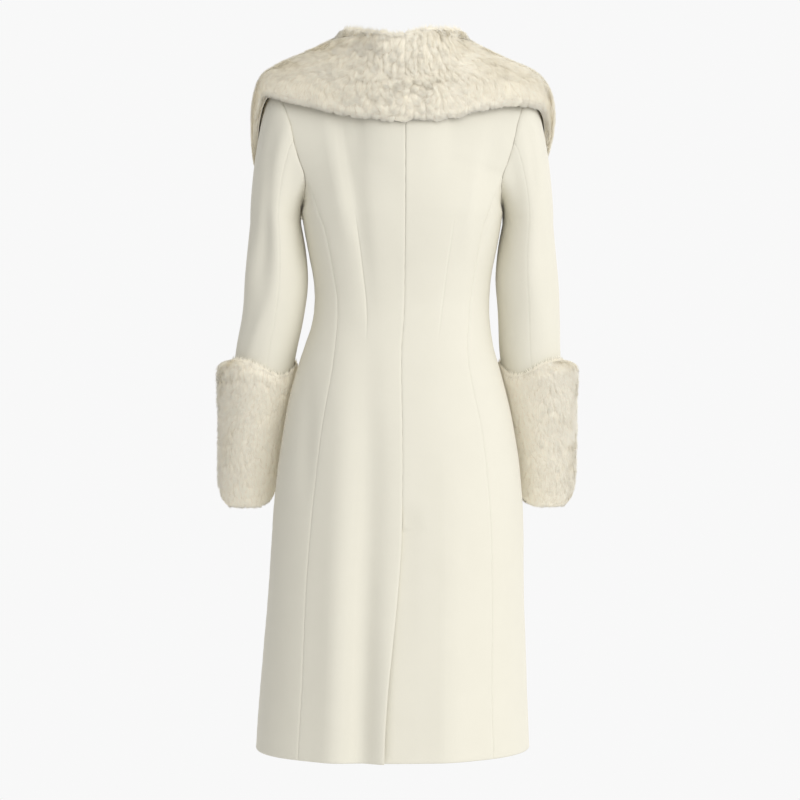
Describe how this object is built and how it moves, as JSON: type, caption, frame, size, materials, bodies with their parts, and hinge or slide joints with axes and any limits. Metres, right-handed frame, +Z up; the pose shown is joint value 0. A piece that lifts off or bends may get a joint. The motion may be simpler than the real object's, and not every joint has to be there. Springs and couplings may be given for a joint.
{
  "type": "fur-trimmed wool coat",
  "caption": "Fitted knee-length wool coat in ivory with a wide fluffy fur shawl collar and deep fur cuffs, hollow and shaped as if worn, with back princess seams and a back vent",
  "frame": {"origin": "the middle of the neck opening, level with the side neck points, where the wearer's shoulders carry the coat", "axes": "+Z up; the coat's front faces -Y; the wearer's left is +X"},
  "size_m": [0.5447, 0.3096, 1.0587],
  "materials": {
    "wool": "soft felted ivory wool, matt, with a fine nap",
    "fur": "long fluffy cream fur on its skin side, matt",
    "covered_button": "button covered in the same ivory wool"
  },
  "bodies": {
    "root": {"back_left": "wool", "back_right": "wool", "side_back_left": "wool", "side_back_right": "wool", "side_front_left": "wool", "side_front_right": "wool", "front_left": "wool", "front_right": "wool", "upper_sleeve_left": "wool", "upper_sleeve_right": "wool", "under_sleeve_left": "wool", "under_sleeve_right": "wool", "fur_collar_left": "fur", "fur_collar_right": "fur", "fur_cuff_left": "fur", "fur_cuff_right": "fur", "button_1": "covered_button", "button_2": "covered_button", "button_3": "covered_button"}
  },
  "joints": []
}
